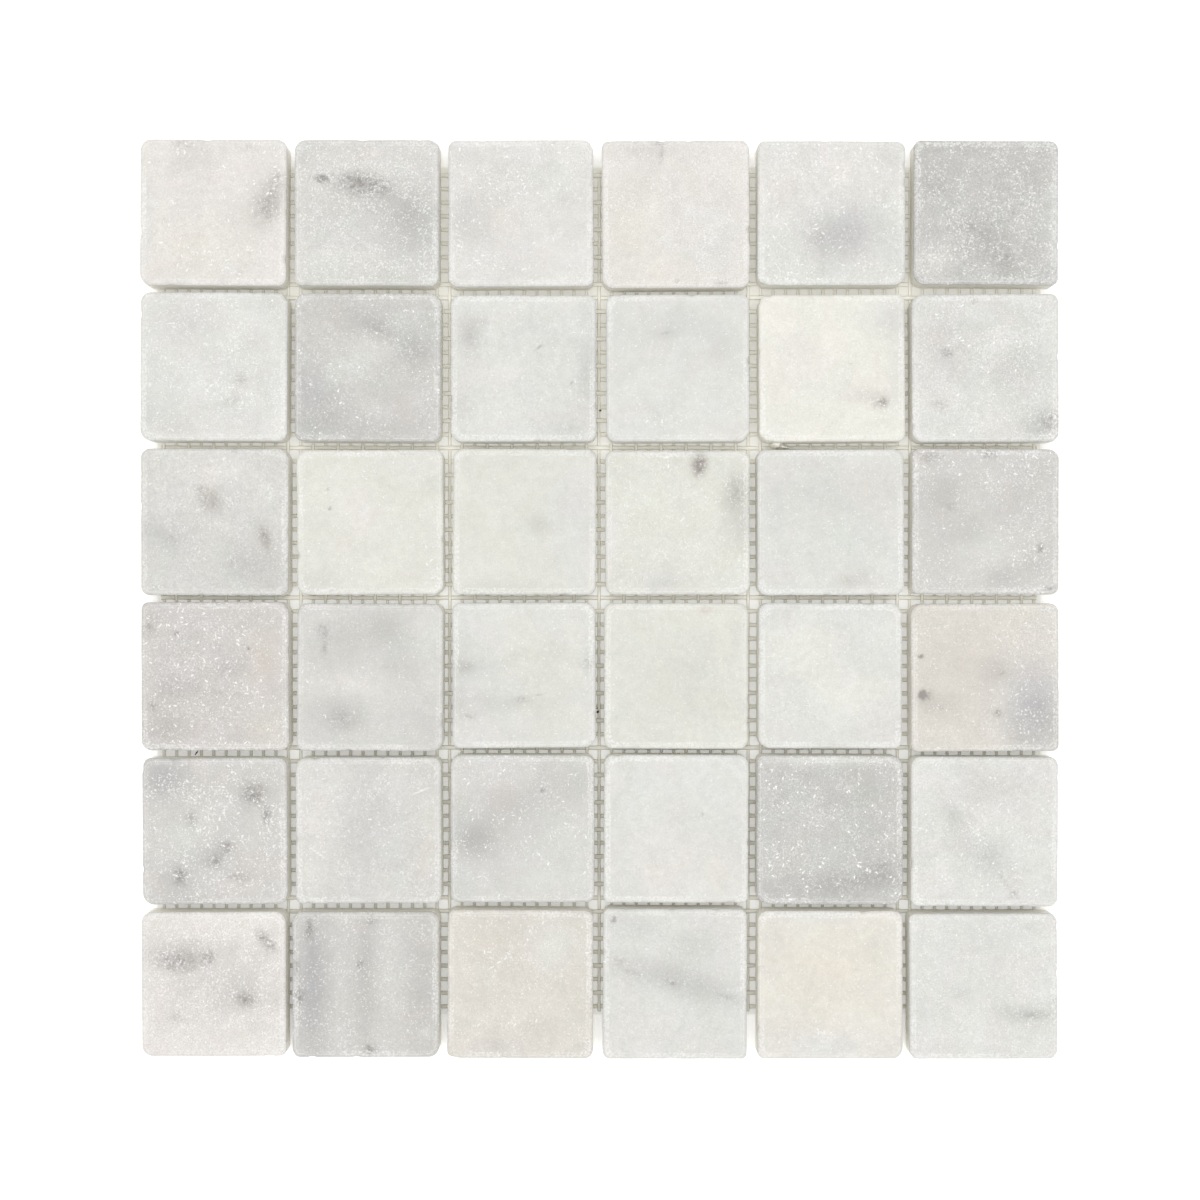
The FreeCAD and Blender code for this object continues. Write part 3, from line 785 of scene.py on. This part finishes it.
def newMarble():
    look = Look("tumbledMarble")
    place = look.millimetres()
    seed = look.attribute("seed")
    place = look.shift(place, look.vector(seed, 0.0, seed * 1.7))
    rim = look.attribute("rim")
    fleckShare = look.attribute("flecks")
    colour = look.attribute("stoneTone", "Color")

    # soft clouds in lightness and hue, mottling and grain
    clouds = look.cloud(place, 0.075, 4.0, 0.58, 0.6, "Color")
    clouds = look.node("ShaderNodeSeparateColor", None, {"Color": clouds})
    cloud, blush, warmth = (look.part(clouds, name) for name in ("Red", "Green", "Blue"))
    mottle = look.cloud(place, 0.42, 5.0, 0.62, 0.4)
    grain = look.cloud(place, 2.0, 3.0, 0.65)
    light = (cloud - 0.5) * marbleLook["cloudiness"] + (mottle - 0.5) * marbleLook["mottling"]
    light = light + (grain - 0.5) * (fleckShare * marbleLook["fleckedGrain"] + marbleLook["graininess"])
    shade = look.attribute("shade") * (mottle * 0.8 + 0.6)
    light = (light + 1) * (1 - shade * marbleLook["shadeDepth"]) * marbleLook["stoneInLight"]
    red, blue = (blush - 0.5) * marbleLook["blush"] + 1, (warmth - 0.5) * marbleLook["warmth"] + 1
    colour = look.times(colour, look.vector(light * red, light, light * blue))

    # grey stains and veins with broken edges
    ragged = look.cloud(place, 0.75, 5.0, 0.72, 0.5)
    stainField = look.attribute("stain")
    stain = look.smooth(stainField * (ragged * 3.8 - 0.95), 0.02, 1.6, 0, marbleLook["stainCover"])
    colour = look.mix(stain, colour, marbleLook["stainColour"])
    vein = look.smooth(look.attribute("vein") * (ragged * 2.2 - 0.1), 0.2, 1.3, 0, marbleLook["veinCover"])
    colour = look.mix(vein, colour, marbleLook["veinColour"])

    # the frosted band along the worn edge, with a dotted line inside it
    spots = look.cloud(place, 1.25, 3.0, 0.7)
    uneven = (mottle - 0.5) * 3.2 + (grain - 0.5) * 1.6
    worn = look.smooth(look.cloud(place, 0.045, 2.0), 0.40, 0.60, 0.30, 1.0)
    band = look.smooth(rim + uneven - worn, 0.1, 1.6, 1, 0) * worn * look.smooth(rim, 0.1, 1.0, 0.6, 1)
    fromDotted = look.maths("ABSOLUTE", rim + (mottle - 0.5) * 2.0 - marbleLook["dottedLine"])
    fromEdge = look.maths("ABSOLUTE", rim + (grain - 0.5) * 0.5 - marbleLook["edgeLine"])

    # white flecks, like small grains of rice that lie every way
    cluster = look.cloud(place, 0.15, 3.0, 0.6)
    share = fleckShare * (cluster * 4.6 - 1.75) + band * 0.3 + stainField * 0.25
    bent = look.shift(place, look.times(look.cloud(place, 1.1, 2.0, output="Color"), (1.1, 1.1, 1.1)))
    flecks = marbleLook["flecks"]
    layers = {
        "rice": look.grains(bent, *flecks["rice"], share),
        "dots": look.grains(place, *flecks["dots"], share * 0.7),
        "fine": look.grains(bent, *flecks["fine"], share * 0.9 + 0.3),
        "frost": look.smooth(spots - (0.58 - share * 0.05), 0.0, 0.12),
        "hairline": look.smooth(look.attribute("hairline") * (ragged + 0.4), 0.25, 0.8),
        "dotted": look.smooth(fromDotted, 0.05, 0.5, 1, 0) * look.smooth(spots, 0.42, 0.58) * worn,
        "edge": look.smooth(fromEdge, 0.05, 0.32, 1, 0) * look.smooth(mottle, 0.38, 0.52),
    }
    white = band * look.smooth(spots, 0.42, 0.64, 0.0, marbleLook["bandCover"])
    for name, layer in layers.items():
        white = look.maths("MAXIMUM", white, layer * marbleLook["whiteness"][name])
    colour = look.mix(white, colour, marbleLook["frostColour"])
    # painted light: the sides are painted paler, less on the sheet's outer sides
    side = look.smooth(rim, -0.6, 0.0, marbleLook["paintedSideLightCover"], 0) * (0.75 + mottle * 0.5)
    side = side * (1 - look.attribute("open") * marbleLook["openSides"])
    colour = look.mix(side, colour, marbleLook["paintedSideLight"])

    rough = marbleLook["roughness"] + (mottle - 0.5) * 0.2
    rough = rough + look.smooth(rim, -1.0, 2.0, marbleLook["edgeRougher"], 0)
    normal = look.bump(grain * 0.45 + mottle * 0.6, 0.6, marbleLook["relief"])
    return look.finish(colour, rough, normal, **{"IOR": 1.45, "Specular IOR Level": 0.2})


marble = newMarble()
blankMesh, gridLines = newBlank()
blankPoints = readPoints(blankMesh)
for row, column in tiles:
    node = f"tile_r{row}_c{column}"
    mesh = blankMesh.copy()
    mesh.name = f"tumbled_{node}"
    points, inset, level, unit = shapeTile(blankPoints, gridLines, row, column, *boxInMm(node))
    writePoints(mesh, points)
    paintTile(mesh, row, column, inset, level, unit)
    mesh.materials.append(marble)
    mesh.update()
    tile = putInScene(mesh.name, mesh)
    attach(tile, "root")
    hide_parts(node)
bpy.data.meshes.remove(blankMesh)
print("tiles laid:", len(tiles))


netLook = {  # in mm
    "weft": {
        "node": "mesh_weft", "count": 62, "pitch": 4.55, "width": 1.3,
        "across": 71, "otherPitch": 4.15, "trim": 1.3,
    },
    "warp": {
        "node": "mesh_warp", "count": 71, "pitch": 4.15, "width": 0.95,
        "across": 62, "otherPitch": 4.55, "trim": 0.7,
    },
    "thickness": 0.25,
    "knotShare": 1.2,  # how much wider the coating is at a crossing
    "knotReach": 0.19,  # how far a crossing reaches, as a share of the way to the next
    "stray": 0.12,  # how far a thread wanders sideways
    "fatter": 0.12,  # how much its width varies
    "hexagonHigh": 0.866,  # half the height of a six-sided thread, against half its width
    "strandColour": (0.67, 0.655, 0.575, 1),
    "coatColour": (0.78, 0.77, 0.70, 1),
    "glueCover": 0.9,
    "relief": 0.0001,
}


def threadBlank(steps):  # a six-sided thread drawn out in steps
    bm = bmesh.new()
    bmesh.ops.create_circle(bm, cap_ends=True, segments=6, radius=1.0)
    ends = bm.faces[:] + bm.edges[:] + bm.verts[:]
    bmesh.ops.spin(bm, geom=ends, cent=(0, 0, 0), axis=(0, 0, 1), dvec=(0, 0, 1), angle=0, steps=steps)
    bmesh.ops.recalc_face_normals(bm, faces=bm.faces)
    return meshFrom(bm, "threadBlank")


def ringPlaces(look, low, high):  # two rings by each crossing and one between
    first = (low + high) / 2 - (look["across"] - 1) / 2 * look["otherPitch"]
    stops, knots = [low + look["trim"]], [0.0]
    for crossing in range(look["across"]):
        place = first + crossing * look["otherPitch"]
        for offset, knot in ((-netLook["knotReach"], 1.0), (netLook["knotReach"], 1.0), (0.5, 0.0)):
            stops.append(place + offset * look["otherPitch"])
            knots.append(knot)
    stops[-1] = high - look["trim"]
    stops.append(stops[-1])  # the far end has a second ring, for a sharp edge
    knots.append(knots[-1])
    return first, np.array(stops), np.array(knots)


def weaveLayer(kind, phase):
    look = netLook[kind]
    low, high = boxInMm(look["node"])
    run, side = (0, 1) if kind == "weft" else (1, 0)
    first, stops, knots = ringPlaces(look, low[run], high[run])
    crossing = np.clip(np.rint((stops - first) / look["otherPitch"]), 0, look["across"] - 1)
    blank = threadBlank(len(stops) - 1)
    blankThread = readPoints(blank)
    bm = bmesh.new()
    for number in range(look["count"]):
        bm.from_mesh(blank)
    mesh = meshFrom(bm, f"net_{kind}")
    bpy.data.meshes.remove(blank)

    order = np.rint(blankThread[:, 2]).astype(int)
    thick = netLook["thickness"] / 2
    edge = look["width"] * 0.55  # the most that a side stands out
    limit = (low[side] + edge, high[side] - edge)
    middle = (low[side] + high[side]) / 2
    points, alongs, acrosses = [], [], []
    for number in range(look["count"]):
        centre = middle + (number - (look["count"] - 1) / 2) * look["pitch"]
        over = np.where((crossing + number + phase) % 2 == 0, 1.0, -1.0) * knots
        line = [(stop, number * 7.3, 11.0 * phase) for stop in stops]  # where it reads the noise
        wander = np.clip(noiseAt(line, 0.035, 3.7), -1, 1) * netLook["stray"]
        fat = 1 + netLook["fatter"] * np.clip(noiseAt(line, 0.21, 8.1), -1, 1)
        wide = look["width"] / 2 * fat * (1 + (netLook["knotShare"] - 1) * knots)
        sideways = blankThread[:, 1] * wide[order] * (1 - 2 * side)  # mirrored once, so faces point out
        thread = np.zeros((len(order), 3))
        thread[:, run] = stops[order]
        thread[:, side] = np.clip(centre + wander[order], *limit) + np.clip(sideways, -edge, edge)
        thread[:, 2] = thick * 2 + over[order] * thick + blankThread[:, 0] / netLook["hexagonHigh"] * thick
        points.append(thread)
        alongs.append(stops[order] + number * 31.0)
        acrosses.append(blankThread[:, 1])
    points = np.concatenate(points)
    points[:, 2] = np.clip(points[:, 2], 0, 2 * netLook["thickness"])
    writePoints(mesh, points)
    setValues(mesh, "along", np.concatenate(alongs))
    setValues(mesh, "across", np.concatenate(acrosses))
    corners = np.zeros(len(mesh.polygons), np.int32)
    mesh.polygons.foreach_get("loop_total", corners)
    mesh.polygons.foreach_set("use_smooth", corners == 4)  # the cut ends stay flat
    mesh.update()
    net = putInScene(f"net_{kind}", mesh)
    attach(net, "root")
    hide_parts(look["node"])
    return net


def newThreads():
    look = Look("coatedGlassThread")
    place = look.millimetres()
    along, across = look.attribute("along"), look.attribute("across")
    strands = look.cloud(look.vector(along * 0.25, across * 2.6), 1.6, 3.0, 0.6)
    dust = look.cloud(place, 0.7, 4.0, 0.6)
    colour = look.mix(look.smooth(strands, 0.36, 0.66), netLook["strandColour"], netLook["coatColour"])
    colour = look.mix(look.smooth(dust, 0.5, 0.7, 0, 0.5), colour, netLook["coatColour"])
    up = look.node("ShaderNodeSeparateXYZ", None, {"Vector": place}, "Y")
    glue = look.smooth(up, *paper["glueUp"], 0, netLook["glueCover"])
    colour = look.mix(glue, colour, netLook["coatColour"])
    # painted light: the threads grow lighter towards the top
    paintedLight = look.smooth(up, *paper["paintedLightUp"])
    colour = look.times(colour, look.vector(paintedLight, paintedLight, paintedLight))
    normal = look.bump(strands + dust * 0.4, 0.7, netLook["relief"])
    return look.finish(colour, 0.5 + dust * 0.1, normal, IOR=1.5)


glassThread = newThreads()
for kind, phase in (("weft", 0), ("warp", 1)):
    weaveLayer(kind, phase).data.materials.append(glassThread)
print("net woven")


caught = {  # what is caught in the net, in mm from the sheet's middle
    "crumbs": {  # right, up, length, width, height, turn
        "black": (-0.40, -37.7, 0.85, 0.75, 0.6, 20),
        "splinter": (-134.4, -51.4, 1.7, 0.35, 0.35, 52),
        "small": (0.40, 62.9, 0.7, 0.6, 0.4, 0),
        "smaller": (-0.55, -36.4, 0.42, 0.35, 0.3, 40),
    },
    "glue": {
        "dab": (58.7, 51.2, 3.6, 2.3, 11.5, 8),
        "tail": (61.2, 50.4, 3.4, 0.8, 9.0, -8),
    },
    "crumbRelief": 0.55,
    "glueRelief": 0.30,
    "netTop": 0.45,
    "sunk": 0.2,  # how much of a bit's height is flattened below its middle
    "crumbTones": ((0.02, 0.018, 0.016, 1), (0.07, 0.06, 0.05, 1)),
    "glueTones": ((0.97, 0.95, 0.90, 1), (0.90, 0.87, 0.78, 1)),
}


def newBits(name, bits, relief):  # small rough lumps that lie on the threads
    bm = bmesh.new()
    for number, (right, up, length, width, height, turn) in enumerate(bits.values()):
        made = bmesh.ops.create_icosphere(bm, subdivisions=3, radius=0.5)["verts"]
        for vertex in made:
            bump = 1 + relief * noise.noise(vertex.co * 4.5 + Vector((7.0 * number, 0, 0)))
            vertex.co *= bump
            vertex.co.z = max(vertex.co.z, -caught["sunk"])  # settled flat on the threads
        bmesh.ops.scale(bm, vec=(length, width, height), verts=made)
        bmesh.ops.rotate(bm, matrix=Matrix.Rotation(math.radians(turn), 3, "Z"), verts=made)
        seat = caught["netTop"] + caught["sunk"] * height
        bmesh.ops.translate(bm, vec=(right, up, seat), verts=made)
    bmesh.ops.scale(bm, vec=(mm, mm, mm), verts=bm.verts)
    bmesh.ops.recalc_face_normals(bm, faces=bm.faces)
    mesh = meshFrom(bm, name)
    mesh.shade_smooth()
    piece = putInScene(name, mesh)
    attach(piece, "root")
    return piece


def newLump(name, first, second):  # one uneven tone for the crumbs, one for the glue
    look = Look(name)
    patches = look.cloud(look.millimetres(), 2.2, 3.0, 0.6)
    colour = look.mix(look.smooth(patches, 0.35, 0.7), first, second)
    return look.finish(colour, 0.5 + patches * 0.3, look.bump(patches, 0.6, 0.0001), IOR=1.48)


crumbs = newBits("stone_crumbs", caught["crumbs"], caught["crumbRelief"])
crumbs.data.materials.append(newLump("darkCrumb", *caught["crumbTones"]))
glue = newBits("glue_dab", caught["glue"], caught["glueRelief"])
glue.data.materials.append(newLump("driedGlue", *caught["glueTones"]))
print("bits laid on the net")
